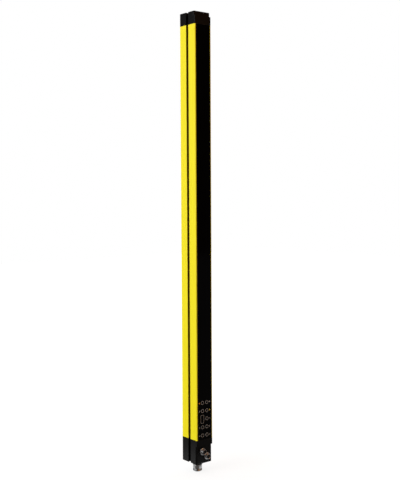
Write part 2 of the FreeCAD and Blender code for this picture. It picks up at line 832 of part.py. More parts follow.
def make_control_parts():
    def on_board(name, x, first, pitch, step, width, depth, height):
        return box(f"{name}_{step + 1}", f"{x} - {width} / 2", f"-(board_front_y + {depth})",
                   f"column_foot_z + {first} + {step} * {pitch} - {height} / 2",
                   width, depth, height)

    group("control_chips", [
        on_board("control_chip", "0", "chip_first", "chip_pitch", step,
                 "chip_side", "chip_height", "chip_side")
        for step in range(2)])
    group("output_switches", [
        on_board("output_switch", "-switch_x", "switch_first", "switch_pitch", step,
                 "switch_width", "switch_height", "switch_length")
        for step in range(4)])
    group("supply_capacitors", [
        on_board("supply_capacitor", "capacitor_x", "capacitor_first",
                 "capacitor_pitch", step, "capacitor_width", "capacitor_height",
                 "capacitor_length")
        for step in range(2)])


def make_ribbons():
    half_ribbon = "ribbon_width / 2"
    block("harness_ribbon", f"-{half_ribbon}", "-(harness_from_rear + ribbon_thickness / 2)",
          "connector_board_top_z + plug_height", "ribbon_width", "ribbon_thickness",
          "control_plug_z - connector_board_top_z - plug_height")
    group("harness_plugs", [
        box("connector_board_plug", "-plug_width / 2",
            "-(harness_from_rear + harness_plug_depth / 2)", "connector_board_top_z",
            "plug_width", "harness_plug_depth", "plug_height"),
        box("control_board_plug", "-plug_width / 2",
            "-(harness_from_rear + ribbon_thickness)", "control_plug_z", "plug_width",
            "harness_from_rear + ribbon_thickness - board_front_y", "plug_height")])
    ribbon_start = "board_front_y + indicator_plug_depth"
    ribbon_end = "indicator_rear_y - indicator_plug_depth"
    block("indicator_ribbon", f"-{half_ribbon}", f"-({ribbon_end})",
          "indicator_ribbon_z - ribbon_thickness / 2", "ribbon_width",
          f"{ribbon_end} - ({ribbon_start})", "ribbon_thickness")
    group("indicator_plugs", [
        box(f"indicator_plug_{name}", "-plug_width / 2", f"-({front})",
            "indicator_ribbon_z - plug_height / 2", "plug_width", "indicator_plug_depth",
            "plug_height")
        for name, front in (("rear", ribbon_start), ("front", "indicator_rear_y"))])


# --- indicator board: lamps in two columns, with the display in place of one lamp ---

def lamp_places():
    for step in range(int(SIZES["lamp_count"])):
        height = f"lamp_first + {step} * lamp_pitch"
        if step != SIZES["lamp_count"] // 2:
            yield "-lamp_from_middle", height
        yield "lamp_from_middle", height


def make_indicators():
    mask_end = "lamp_first + (lamp_count - 1) * lamp_pitch + mask_margin"
    block("indicator_board", "-board_half", "-indicator_front_y",
          "column_foot_z + lamp_first - mask_margin", "2 * board_half", "board_thickness",
          f"{mask_end} - lamp_first + mask_margin")

    group("indicator_lamps", [
        box(f"lamp_{number}", f"{x} - lamp_side / 2", "-(indicator_front_y + lamp_height)",
            f"column_foot_z + {height} - lamp_side / 2", "lamp_side", "lamp_height", "lamp_side")
        for number, (x, height) in enumerate(lamp_places(), start=1)])

    block("status_display", "-lamp_from_middle - display_width / 2",
          "-(indicator_front_y + display_thickness)", "display_z - display_height / 2",
          "display_width", "display_thickness", "display_height")

    mask = new_body("light_mask", y="-indicator_front_y", z="column_foot_z", facing_front=True)
    plate = sketch_on(mask)
    draw_box(plate, "-mask_width / 2", "mask_width / 2", "lamp_first - mask_margin", mask_end)
    thickness = "tongue_rear_y - window_rear_gap - indicator_front_y"
    pad(mask, plate, thickness)
    holes = sketch_on(mask, height=f"-{OVERRUN}")
    for x, height in lamp_places():
        draw_box(holes, f"{x} - lamp_cell / 2", f"{x} + lamp_cell / 2",
                 f"{height} - lamp_cell / 2", f"{height} + lamp_cell / 2")
    display_from_foot = "display_z - column_foot_z"
    draw_box(holes, "-lamp_from_middle - display_width / 2 - display_gap",
             "-lamp_from_middle + display_width / 2 + display_gap",
             f"{display_from_foot} - display_height / 2 - display_gap",
             f"{display_from_foot} + display_height / 2 + display_gap")
    pocket(mask, holes, f"{thickness} + {2 * OVERRUN}")


# --- beam modules: light-tight funnels, each with a lens in front and a photodiode at its foot ---

# A square solid with sides of one width all along, or one that runs out from a narrow foot. Each
# stands on the beam's axis and reaches from one distance in front of the board to another.
def square_step(body, kind, near, far, near_side, far_side=None):
    far_side = far_side or near_side
    step = body.newObject(f"PartDesign::{kind}Wedge", body.Name + "_step")
    for ends, side in ((("Xmin", "Zmin"), far_side), (("X2min", "Z2min"), near_side)):
        for end in ends:
            bind(step, **{end: f"-({side}) / 2", end.replace("min", "max"): f"({side}) / 2"})
    bind(step, Ymin=f"-({far})", Ymax=f"-({near})")
    doc.recompute()
    return step


def new_beam_body(name):
    return new_body(name, y="-board_front_y", z="column_foot_z + beam_first")


def repeat_beams(body, features):
    row_of(body, features, "Z_Axis", f"{BEAMS - 1} * beam_pitch", BEAMS)


def make_lens_tubes():
    body = new_beam_body("lens_tubes")
    shoulder = "tube_length - lens_recess"
    opening = "lens_side + 2 * lens_gap"
    straight = "tube_length - tube_straight"
    repeat_beams(body, [
        square_step(body, "Additive", "0", straight, "tube_foot", "tube_side"),
        square_step(body, "Additive", straight, "tube_length", "tube_side"),
        square_step(body, "Subtractive", f"-{OVERRUN}", "tube_floor", "detector_hole"),
        square_step(body, "Subtractive", "tube_floor", shoulder, "detector_throat",
                    f"{opening} - 2 * lens_shoulder"),
        square_step(body, "Subtractive", shoulder, f"tube_length + {OVERRUN}", opening),
    ])


# Each lens is flat behind and part of a sphere in front, trimmed square.
def make_lenses():
    body = new_beam_body("lenses")
    foot = "tube_length - lens_recess"
    rise = "(lens_middle - lens_edge)"
    radius = f"((lens_side / 2) ^ 2 * 2 + {rise} ^ 2) / (2 * {rise})"
    ball = body.newObject("PartDesign::AdditiveSphere", "lens_ball")
    ball.Angle1 = -90
    ball.Angle2 = 90
    bind(ball, Radius=radius, Placement__Base__y=f"-({foot} + lens_middle - {radius})")
    doc.recompute()
    rest = sketch_on(body, "XZ_Plane", f"-2 * {radius}")
    draw_box(rest, f"-2 * {radius}", f"2 * {radius}", f"-2 * {radius}", f"2 * {radius}")
    draw_box(rest, "-lens_side / 2", "lens_side / 2", "-lens_side / 2", "lens_side / 2")
    sides = pocket(body, rest, f"4 * {radius}")
    back = square_step(body, "Subtractive", f"-2 * {radius}", foot, f"2 * {radius}")
    repeat_beams(body, [ball, sides, back])


def make_beams():
    make_lens_tubes()
    make_lenses()
    detectors = []
    amplifiers = []
    for step in range(BEAMS):
        height = f"column_foot_z + beam_first + {step} * beam_pitch"
        detectors.append(box(
            f"photodiode_{step + 1}", "-detector_side / 2", "-(board_front_y + detector_height)",
            f"{height} - detector_side / 2", "detector_side", "detector_height", "detector_side"))
        amplifiers.append(box(
            f"beam_amplifier_{step + 1}", "amplifier_x - amplifier_side / 2",
            "-(board_front_y + amplifier_height)", f"{height} - amplifier_side / 2",
            "amplifier_side", "amplifier_height", "amplifier_side"))
    group("photodiodes", detectors)
    group("beam_amplifiers", amplifiers)


# --- checks and files ---

def check_document():
    for thing in doc.Objects:
        if "Invalid" in thing.State or "Error" in thing.State:
            raise ValueError(f"{thing.Name} failed: {thing.State}")
    for piece in pieces:
        if piece.Shape.isNull() or not piece.Shape.isValid() or not piece.Shape.Solids:
            raise ValueError(f"{piece.Label} has no valid solid")


def write_files():
    os.makedirs("parts", exist_ok=True)
    for piece in pieces:
        piece.Shape.exportStep(f"parts/{piece.Label}.step")


make_column()
make_window()
make_seals()
make_bottom_cap()
make_top_cap()
group("cap_gaskets", [make_gasket("bottom_cap_gasket", "bottom_cap_height"),
                      make_gasket("top_cap_gasket", "column_head_z")])
group("screws_and_nuts", [
    make_screws("bottom_cap_screws", "bottom_cap_height - seat_thickness", points_up=True),
    make_screws("top_cap_screws", "top_cap_foot_z + seat_thickness", points_up=False),
    make_connector_nut(), make_socket_nut("upper"), make_socket_nut("lower")])
make_connector_shell()
make_connector_insert()
make_connector_pins()
make_socket("upper")
make_socket("lower")
make_cap_boards()
make_main_boards()
make_control_parts()
make_ribbons()
make_indicators()
make_beams()

doc.recompute()
check_document()
write_files()
print(len(pieces), "pieces,", sum(len(piece.Shape.Solids) for piece in pieces), "solids")
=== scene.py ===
import json
import math

import bpy
import numpy as np
from mathutils import Matrix, Vector


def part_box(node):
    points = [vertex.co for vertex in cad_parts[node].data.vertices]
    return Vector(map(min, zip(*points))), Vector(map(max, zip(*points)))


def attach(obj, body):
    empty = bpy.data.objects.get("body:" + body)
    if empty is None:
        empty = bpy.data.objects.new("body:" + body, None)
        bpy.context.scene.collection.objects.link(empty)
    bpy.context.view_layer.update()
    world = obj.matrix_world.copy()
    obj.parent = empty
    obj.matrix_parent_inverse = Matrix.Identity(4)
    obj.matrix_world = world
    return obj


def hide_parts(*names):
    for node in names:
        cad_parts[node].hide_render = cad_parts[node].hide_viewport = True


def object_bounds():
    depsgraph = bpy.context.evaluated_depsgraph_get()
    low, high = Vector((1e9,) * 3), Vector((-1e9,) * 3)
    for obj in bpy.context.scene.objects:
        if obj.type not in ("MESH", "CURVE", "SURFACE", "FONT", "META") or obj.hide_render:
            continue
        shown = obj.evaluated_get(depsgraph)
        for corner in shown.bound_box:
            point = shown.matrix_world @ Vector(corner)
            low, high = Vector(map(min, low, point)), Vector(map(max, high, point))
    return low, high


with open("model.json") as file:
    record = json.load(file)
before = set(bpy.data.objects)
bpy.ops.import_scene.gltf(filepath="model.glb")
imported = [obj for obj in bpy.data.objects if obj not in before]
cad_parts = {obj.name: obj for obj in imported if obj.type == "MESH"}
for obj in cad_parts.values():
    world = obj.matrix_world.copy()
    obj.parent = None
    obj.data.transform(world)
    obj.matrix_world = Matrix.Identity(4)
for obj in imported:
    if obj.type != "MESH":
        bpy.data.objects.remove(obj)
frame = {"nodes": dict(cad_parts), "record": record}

millimetre = 0.001
cadBox = [list(corner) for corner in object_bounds()]
print("frame loaded:", len(frame["nodes"]), "nodes")

cameraPlace = {
    "aim": (0.0215, -0.0179, 0.559),  # metres, near the middle of the column's height
    "distance": 2.1,
    "azimuth": -38.87,  # degrees from straight in front, towards the left side
    "elevation": 3.22,
    "roll": -0.29,
    "lens": 62.29,
    "nearest": 0.05,
}


# The camera stands at aim + distance * back, where back points from the object to the camera,
# and is then turned by the roll about its own line of sight.
def makeCamera(place):
    turn, rise, roll = (math.radians(place[name]) for name in ("azimuth", "elevation", "roll"))
    back = Vector((math.sin(turn) * math.cos(rise), -math.cos(turn) * math.cos(rise),
                   math.sin(rise)))
    level = (-back).cross(Vector((0, 0, 1))).normalized()
    upright = level.cross(-back)
    across = level * math.cos(roll) + upright * math.sin(roll)
    up = upright * math.cos(roll) - level * math.sin(roll)
    matrix = Matrix((across, up, back)).transposed().to_4x4()
    matrix.translation = Vector(place["aim"]) + back * place["distance"]
    data = bpy.data.cameras.new("camera")
    data.lens = place["lens"]
    data.clip_start = place["nearest"]
    camera = bpy.data.objects.new("camera", data)
    camera.matrix_world = matrix
    bpy.context.scene.collection.objects.link(camera)
    bpy.context.scene.camera = camera


makeCamera(cameraPlace)
print("camera placed")


# Each channel of the hex colour goes from the screen's curve to linear light.
def linearColour(hexCode):
    screen = np.array([int(hexCode[at:at + 2], 16) for at in (1, 3, 5)]) / 255
    light = np.where(screen <= 0.04045, screen / 12.92, ((screen + 0.055) / 1.055) ** 2.4)
    return (*light.tolist(), 1.0)


# Settings are a node's own choices or the values of its inputs, links are the sockets that feed it.
# Where names repeat, an input goes by its number: a Mix node has its factor at 0, its two values at
# 2 and 3, its two colours at 6 and 7, and its mixed colour at output 2.
def addNode(tree, kind, settings=None, links=None):
    node = tree.nodes.new(kind)
    choices = {name: value for name, value in (settings or {}).items()
               if isinstance(name, str) and name not in node.inputs and hasattr(node, name)}
    for name, value in choices.items():
        setattr(node, name, value)
    for name, value in (settings or {}).items():
        if name not in choices:
            node.inputs[name].default_value = value
    for name, socket in (links or {}).items():
        tree.links.new(socket, node.inputs[name])
    return node


def newTree(name):
    material = bpy.data.materials.new(name)
    material.use_nodes = True
    material.node_tree.nodes.clear()
    return material, material.node_tree


# Every finish starts from these and names only what differs. Sizes are in millimetres.
plainFinish = {
    "dark": "#303030", "light": "#3a3a3a",   # the two ends of the colour's slow drift
    "driftSize": 40, "driftStretch": (1, 1, 1),
    "rough": (0.4, 0.5), "roughSize": 4, "roughStretch": (1, 1, 1),
    "grainSize": 0.6, "grainHeight": 0.01, "grainStretch": (1, 1, 1),
    "metallic": 0.0, "specular": 0.5, "clear": 0.0,
}

finishes = {
    # electrostatic powder baked on the extrusion: a saturated yellow with a faint orange peel,
    # and long soft streaks where the press marks show through
    "yellowPowderCoat": {"dark": "#f3e20c", "light": "#fbee1a", "driftSize": 5,
                         "driftStretch": (1, 1, 0.02), "rough": (0.30, 0.42), "roughSize": 2.5,
                         "grainSize": 1.3, "grainHeight": 0.012, "specular": 0.36},
    # extruded acrylic dyed to pass only infrared: black to the eye, with a polished skin
    "darkAcrylic": {"dark": "#030304", "light": "#060608", "driftSize": 60,
                    "driftStretch": (1, 1, 0.1), "rough": (0.05, 0.10), "roughSize": 25,
                    "roughStretch": (1, 1, 0.1), "grainSize": 9, "grainHeight": 0.002,
                    "grainStretch": (1, 1, 0.2), "specular": 0.06},
    # glass-filled polyamide from a spark-eroded mould: even black with a fine dull grain
    "blackPolyamide": {"dark": "#040405", "light": "#0a0a0a", "driftSize": 18,
                       "rough": (0.36, 0.46), "roughSize": 3, "grainSize": 0.45,
                       "grainHeight": 0.006, "specular": 0.16},
    # moulded nitrile rubber, slightly dusty and fully dull
    "nitrileRubber": {"dark": "#0c0c0c", "light": "#171717", "driftSize": 9, "rough": (0.70, 0.85),
                      "grainSize": 0.35, "grainHeight": 0.012, "specular": 0.30},
    # bright zinc with a clear passivate: soft grey with a slight drift and fine lines of turning
    "zincPlate": {"dark": "#a9abad", "light": "#c3c5c6", "driftSize": 3, "rough": (0.28, 0.42),
                  "grainSize": 0.25, "grainHeight": 0.003, "metallic": 1.0},
    # turned brass under dull nickel: soft grey metal with fine rings from the lathe
    "nickelPlate": {"dark": "#9fa0a1", "light": "#b9babb", "driftSize": 6, "rough": (0.20, 0.34),
                    "roughSize": 1.5, "roughStretch": (0.3, 0.3, 1), "grainSize": 0.25,
                    "grainHeight": 0.002, "grainStretch": (0.15, 0.15, 1), "metallic": 1.0},
    # the same plating on the parts that are turned about the front-to-back line
    "nickelPlateFront": {"dark": "#9fa0a1", "light": "#b9babb", "driftSize": 6,
                         "rough": (0.20, 0.34), "roughSize": 1.5, "roughStretch": (0.3, 1, 0.3),
                         "grainSize": 0.25, "grainHeight": 0.002,
                         "grainStretch": (0.15, 1, 0.15), "metallic": 1.0},
    # glass-filled polyester that holds the contacts: dense dull black
    "contactMoulding": {"dark": "#0b0b0c", "light": "#151516", "driftSize": 5,
                        "rough": (0.42, 0.55), "grainSize": 0.3, "grainHeight": 0.006,
                        "specular": 0.35},
    # hard gold over nickel on the contacts
    "goldPlate": {"dark": "#c99a3c", "light": "#e0b65a", "driftSize": 2, "rough": (0.16, 0.28),
                  "grainSize": 0.2, "grainHeight": 0.001, "metallic": 1.0},
    # black epoxy moulded round a chip, with the fine sand texture of its mould
    "epoxyMoulding": {"dark": "#151517", "light": "#202023", "driftSize": 4, "rough": (0.55, 0.68),
                      "grainSize": 0.2, "grainHeight": 0.008, "specular": 0.35},
    # natural nylon of the ribbon plugs, a little uneven and waxy
    "creamNylon": {"dark": "#d9d0b4", "light": "#e9e2cc", "driftSize": 4, "rough": (0.38, 0.50),
                   "grainSize": 0.5, "grainHeight": 0.004, "specular": 0.45},
    # shrink sleeve drawn over a capacitor: dark blue, glossy, with a slight tautness
    "shrinkSleeve": {"dark": "#0d1230", "light": "#171d44", "driftSize": 6, "rough": (0.18, 0.28),
                     "grainSize": 2.5, "grainHeight": 0.010, "specular": 0.45},
    # milky epoxy over the lamps, unlit
    "lampMoulding": {"dark": "#b9bab6", "light": "#cfd0cc", "driftSize": 1.5, "rough": (0.22, 0.34),
                     "grainSize": 0.6, "grainHeight": 0.004, "specular": 0.5, "clear": 0.25},
    # tinted face of the status display, unlit
    "displayFace": {"dark": "#1a1a1d", "light": "#242428", "driftSize": 3, "rough": (0.16, 0.26),
                    "grainSize": 0.8, "grainHeight": 0.002, "specular": 0.5},
    # carbon-filled polycarbonate that swallows stray light
    "lightTightBlack": {"dark": "#040404", "light": "#080808", "driftSize": 8,
                        "rough": (0.72, 0.86), "grainSize": 0.3, "grainHeight": 0.012,
                        "specular": 0.15},
    # moulded clear acrylic of the beam lenses
    "clearAcrylic": {"dark": "#f3f6f8", "light": "#ffffff", "driftSize": 12, "rough": (0.01, 0.04),
                     "grainSize": 6, "grainHeight": 0.001, "clear": 1.0},
    # dark epoxy over the photodiodes, which lets infrared in
    "diodeEpoxy": {"dark": "#120b14", "light": "#1d1220", "driftSize": 2, "rough": (0.12, 0.20),
                   "grainSize": 0.8, "grainHeight": 0.002, "specular": 0.5},
    # inks screened onto the window: a dry film that stands a little rough on the polished acrylic
    "greyInk": {"dark": "#b4bdc2", "light": "#c9d2d6", "driftSize": 2, "rough": (0.50, 0.65),
                "grainSize": 0.15, "grainHeight": 0.003, "specular": 0.3},
    "whiteInk": {"dark": "#e4ebee", "light": "#f6fbfd", "driftSize": 2, "rough": (0.50, 0.65),
                 "grainSize": 0.15, "grainHeight": 0.003, "specular": 0.3},
    "orangeInk": {"dark": "#f8a83a", "light": "#ffbc50", "driftSize": 2, "rough": (0.50, 0.65),
                  "grainSize": 0.15, "grainHeight": 0.003, "specular": 0.3},
    "yellowInk": {"dark": "#fdf24a", "light": "#fffa70", "driftSize": 2, "rough": (0.50, 0.65),
                  "grainSize": 0.15, "grainHeight": 0.003, "specular": 0.3},
}

noiseShape = {"detail": 3.0, "roughness": 0.55, "usual": (0.3, 0.7)}  # usual: where most of it lies


# A noise whose blobs are about the given size: its scale is one over the size in metres.
def addNoise(tree, place, size, stretch):
    spread = addNode(tree, "ShaderNodeMapping", {"Scale": stretch}, {"Vector": place})
    return addNode(tree, "ShaderNodeTexNoise",
                   {"Scale": 1 / (size * millimetre), "Detail": noiseShape["detail"],
                    "Roughness": noiseShape["roughness"]},
                   {"Vector": spread.outputs["Vector"]}).outputs["Fac"]


# Painted shade in the grooves: inside them the yellow is mixed towards a dark brown, where shade
# falls. How dark is the smallest of three ramps: how far inside the sides, how far inside the rear,
# and how far behind the window lips, with a noise that makes the edge of the painted shade uneven.
slotShade = {
    "paintedShade": "#6e4d15", "sides": (24.8, 23.2), "rear": (-0.4, -2.0), "front": (-46.0, -44.0),
    "edgeNoiseSize": 3.5, "edgeNoiseStretch": (1, 1, 0.15), "edgeNoiseLeast": 0.82,
}


def paintShadeInSlots(tree, place, colour):
    parts = addNode(tree, "ShaderNodeSeparateXYZ", None, {"Vector": place})
    inside = addNode(tree, "ShaderNodeMath", {"operation": "ABSOLUTE"}, {0: parts.outputs["X"]})
    least = None
    for socket, name in ((inside.outputs["Value"], "sides"), (parts.outputs["Y"], "rear"),
                         (parts.outputs["Y"], "front")):
        start, end = (edge * millimetre for edge in slotShade[name])
        ramp = addNode(tree, "ShaderNodeMapRange",
                       {"From Min": start, "From Max": end, "To Min": 0.0, "To Max": 1.0},
                       {"Value": socket})
        if least:
            least = addNode(tree, "ShaderNodeMath", {"operation": "MINIMUM"},
                            {0: least, 1: ramp.outputs["Result"]}).outputs["Value"]
        else:
            least = ramp.outputs["Result"]
    edgeNoise = addNoise(tree, place, slotShade["edgeNoiseSize"], slotShade["edgeNoiseStretch"])
    uneven = addNode(tree, "ShaderNodeMapRange",
                     {"To Min": slotShade["edgeNoiseLeast"], "To Max": 1.0}, {"Value": edgeNoise})
    share = addNode(tree, "ShaderNodeMath", {"operation": "MULTIPLY"},
                    {0: least, 1: uneven.outputs["Result"]})
    return addNode(tree, "ShaderNodeMix", {"data_type": "RGBA", 7: linearColour(slotShade["paintedShade"])},
                   {0: share.outputs["Value"], 6: colour}).outputs[2]


# Colour drifts between two near tones, roughness between two values, and a fine noise lifts the
# surface.
def makeFinish(name, changes, overlay=None):
    finish = {**plainFinish, **changes}
    material, tree = newTree(name)
    place = addNode(tree, "ShaderNodeTexCoord").outputs["Object"]
    drift = addNoise(tree, place, finish["driftSize"], finish["driftStretch"])
    colour = addNode(tree, "ShaderNodeMix",
                     {"data_type": "RGBA", 6: linearColour(finish["dark"]),
                      7: linearColour(finish["light"])}, {0: drift}).outputs[2]
    if overlay:
        colour = overlay(tree, place, colour)
    wander = addNoise(tree, place, finish["roughSize"], finish["roughStretch"])
    rough = addNode(tree, "ShaderNodeMapRange",
                    {"From Min": noiseShape["usual"][0], "From Max": noiseShape["usual"][1],
                     "To Min": finish["rough"][0], "To Max": finish["rough"][1]},
                    {"Value": wander})
    grain = addNoise(tree, place, finish["grainSize"], finish["grainStretch"])
    lift = addNode(tree, "ShaderNodeBump",
                   {"Strength": 1.0, "Distance": finish["grainHeight"] * millimetre},
                   {"Height": grain})
    settings = {"Metallic": finish["metallic"], "Transmission Weight": finish["clear"]}
    if not finish["metallic"]:
        settings["Specular IOR Level"] = finish["specular"]
    skin = addNode(tree, "ShaderNodeBsdfPrincipled", settings,
                   {"Base Color": colour, "Roughness": rough.outputs["Result"],
                    "Normal": lift.outputs["Normal"]})
    addNode(tree, "ShaderNodeOutputMaterial", None, {"Surface": skin.outputs["BSDF"]})
    return material


# Green solder mask over etched copper: a stepped cell pattern stands for pours and tracks, which
# show as a lighter, slightly raised green.
boardMask = {
    "dark": "#0f4a26", "light": "#1f6a38", "cellSize": 3.2, "trackEdge": (0.30, 0.34),
    "trackHeight": 0.02, "rough": (0.28, 0.42), "roughSize": 0.7, "specular": 0.45,
}


def makeBoardMask(finish):
    material, tree = newTree("greenSolderMask")
    place = addNode(tree, "ShaderNodeTexCoord").outputs["Object"]
    cells = addNode(tree, "ShaderNodeTexVoronoi",
                    {"distance": "CHEBYCHEV", "feature": "F1",
                     "Scale": 1 / (finish["cellSize"] * millimetre)}, {"Vector": place})
    tracks = addNode(tree, "ShaderNodeMapRange",
                     {"interpolation_type": "SMOOTHSTEP", "From Min": finish["trackEdge"][0],
                      "From Max": finish["trackEdge"][1], "To Min": 0.0, "To Max": 1.0},
                     {"Value": cells.outputs["Distance"]})
    colour = addNode(tree, "ShaderNodeMix",
                     {"data_type": "RGBA", 6: linearColour(finish["dark"]),
                      7: linearColour(finish["light"])}, {0: tracks.outputs["Result"]})
    weave = addNoise(tree, place, finish["roughSize"], (1, 1, 1))
    rough = addNode(tree, "ShaderNodeMapRange",
                    {"To Min": finish["rough"][0], "To Max": finish["rough"][1]}, {"Value": weave})
    lift = addNode(tree, "ShaderNodeBump",
                   {"Strength": 1.0, "Distance": finish["trackHeight"] * millimetre},
                   {"Height": tracks.outputs["Result"]})
    skin = addNode(tree, "ShaderNodeBsdfPrincipled", {"Specular IOR Level": finish["specular"]},
                   {"Base Color": colour.outputs[2], "Roughness": rough.outputs["Result"],
                    "Normal": lift.outputs["Normal"]})
    addNode(tree, "ShaderNodeOutputMaterial", None, {"Surface": skin.outputs["BSDF"]})
    return material


# Grey vinyl ribbon: each core makes a round rib, so a wave across the ribbon's width lifts it and
# paints it darker in the grooves between the ribs, as painted shade. The wave repeats every pi / 10
# divided by its scale.
ribbonJacket = {
    "dark": "#77777a", "light": "#a6a6a9", "corePitch": 1.27, "ribHeight": 0.12,
    "rough": (0.45, 0.6), "roughSize": 3, "roughStretch": (1, 1, 0.2), "specular": 0.4,
}


def makeRibbonJacket(finish):
    material, tree = newTree("greyRibbonJacket")
    place = addNode(tree, "ShaderNodeTexCoord").outputs["Object"]
    cores = addNode(tree, "ShaderNodeTexWave",
                    {"wave_type": "BANDS", "bands_direction": "X", "wave_profile": "SIN",
                     "Scale": 1 / (finish["corePitch"] * millimetre) / (10 / math.pi)},
                    {"Vector": place})
    # painted shade: darker between the ribs, lighter on their crowns
    colour = addNode(tree, "ShaderNodeMix",
                     {"data_type": "RGBA", 6: linearColour(finish["dark"]),
                      7: linearColour(finish["light"])}, {0: cores.outputs["Fac"]})
    wander = addNoise(tree, place, finish["roughSize"], finish["roughStretch"])
    rough = addNode(tree, "ShaderNodeMapRange",
                    {"To Min": finish["rough"][0], "To Max": finish["rough"][1]}, {"Value": wander})
    lift = addNode(tree, "ShaderNodeBump",
                   {"Strength": 1.0, "Distance": finish["ribHeight"] * millimetre},
                   {"Height": cores.outputs["Fac"]})
    skin = addNode(tree, "ShaderNodeBsdfPrincipled", {"Specular IOR Level": finish["specular"]},
                   {"Base Color": colour.outputs[2], "Roughness": rough.outputs["Result"],
                    "Normal": lift.outputs["Normal"]})
    addNode(tree, "ShaderNodeOutputMaterial", None, {"Surface": skin.outputs["BSDF"]})
    return material


# the powder coat takes painted shade in its grooves
overlays = {"yellowPowderCoat": paintShadeInSlots}
materials = {name: makeFinish(name, finish, overlays.get(name))
             for name, finish in finishes.items()}
materials["greenSolderMask"] = makeBoardMask(boardMask)
materials["greyRibbonJacket"] = makeRibbonJacket(ribbonJacket)
print("finishes made:", len(materials))

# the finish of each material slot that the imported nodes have
finishOfSlot = {
    "yellow_powder_coat": "yellowPowderCoat", "dark_acrylic": "darkAcrylic",
    "black_moulding": "blackPolyamide", "seal_rubber": "nitrileRubber",
    "zinc_screws": "zincPlate", "nickel_shell": "nickelPlate",
    "insert_moulding": "contactMoulding", "gold_contacts": "goldPlate",
    "green_board": "greenSolderMask", "chip_moulding": "epoxyMoulding",
    "plug_moulding": "creamNylon", "ribbon_jacket": "greyRibbonJacket",
    "capacitor_sleeve": "shrinkSleeve", "lamp_lens": "lampMoulding",
    "display_face": "displayFace", "black_tube": "lightTightBlack",
    "clear_lens": "clearAcrylic", "diode_epoxy": "diodeEpoxy",
}

for subpart in frame["record"]["subparts"]:
    node = frame["nodes"][subpart["node"]]
    finish = materials[finishOfSlot[subpart["material_slot"]]]
    if node.material_slots:
        for slot in node.material_slots:
            slot.material = finish
    else:
        node.data.materials.append(finish)
print("finishes on the packed nodes")


# A grid of points becomes a mesh of four-sided faces: each face joins a point to the next one
# along and across, and a closed direction joins its last row to its first. With caps, one more
# face closes each end of a grid that is open along. A solid whose signed volume comes out
# negative has its faces turned round.
def gridPiece(name, grids, finish, sharpAngle=32, caps=False):
    points, faces, start = [], [], 0
    for grid, closedAlong, closedAcross in grids:
        along, across = grid.shape[:2]
        index = np.arange(along * across).reshape(along, across) + start
        rows = np.arange(along if closedAlong else along - 1)
        columns = np.arange(across if closedAcross else across - 1)
        row, column = (part.ravel() for part in np.meshgrid(rows, columns, indexing="ij"))
        nextRow, nextColumn = (row + 1) % along, (column + 1) % across
        quads = np.stack([index[row, column], index[nextRow, column],
                          index[nextRow, nextColumn], index[row, nextColumn]], axis=1)
        if not closedAlong and caps:
            quads = np.concatenate([quads, index[:1, :4], index[-1:, 3::-1]])
        flat = grid.reshape(-1, 3)
        corner = flat[quads - start]
        first, second, third = (corner[:, step] - corner[:, 0] for step in (1, 2, 3))
        volume = np.einsum("ij,ij->i", corner[:, 0] - flat.mean(0),
                           np.cross(first, second) + np.cross(second, third)).sum()
        faces.append(quads[:, ::-1] if volume < 0 else quads)
        points.append(flat)
        start += len(flat)
    mesh = bpy.data.meshes.new(name)
    mesh.from_pydata((np.concatenate(points) * millimetre).tolist(), [],
                     np.concatenate(faces).tolist())
    mesh.polygons.foreach_set("use_smooth", np.ones(len(mesh.polygons), bool))
    mesh.set_sharp_from_angle(angle=math.radians(sharpAngle))
    mesh.materials.append(materials[finish])
    mesh.update()
    piece = bpy.data.objects.new(name, mesh)
    bpy.context.scene.collection.objects.link(piece)
    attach(piece, "root")
    return piece


# Each corner of a closed outline becomes a short curve: with A and B a little way along its two
# edges, the points are A, (A + 2 corner + B) / 4 and B. At most, a corner takes the share
# mostOfEdge of each edge.
def softCorners(outline, softness, mostOfEdge=0.45):
    outline = np.asarray(outline, float)
    softness = np.broadcast_to(softness, len(outline))[:, None]
    before, after = np.roll(outline, 1, axis=0) - outline, np.roll(outline, -1, axis=0) - outline
    lengthBefore = np.linalg.norm(before, axis=1, keepdims=True)
    lengthAfter = np.linalg.norm(after, axis=1, keepdims=True)
    first = outline + before / lengthBefore * np.minimum(softness, mostOfEdge * lengthBefore)
    last = outline + after / lengthAfter * np.minimum(softness, mostOfEdge * lengthAfter)
    middle = (first + 2 * outline + last) / 4
    return np.stack([first, middle, last], axis=1).reshape(-1, 2)


# Long edges of a closed outline that run within a thread are cut into short steps, so that the
# thread has rows of points to shape.
def stepsInThread(outline, low, high, radiusRange, step):
    following = np.roll(outline, -1, axis=0)
    inside = ((outline[:, 0] >= radiusRange[0]) & (outline[:, 0] <= radiusRange[1])
              & (following[:, 0] >= radiusRange[0]) & (following[:, 0] <= radiusRange[1]))
    overlaps = (np.minimum(outline[:, 1], following[:, 1]) < high) \
        & (np.maximum(outline[:, 1], following[:, 1]) > low)
    counts = np.where(inside & overlaps, np.ceil(np.abs(following[:, 1] - outline[:, 1]) / step), 1)
    counts = np.maximum(counts, 1).astype(int)
    owner = np.repeat(np.arange(len(outline)), counts)
    order = np.arange(counts.sum()) - np.repeat(np.cumsum(counts) - counts, counts)
    share = (order / counts[owner])[:, None]
    return outline[owner] * (1 - share) + following[owner] * share


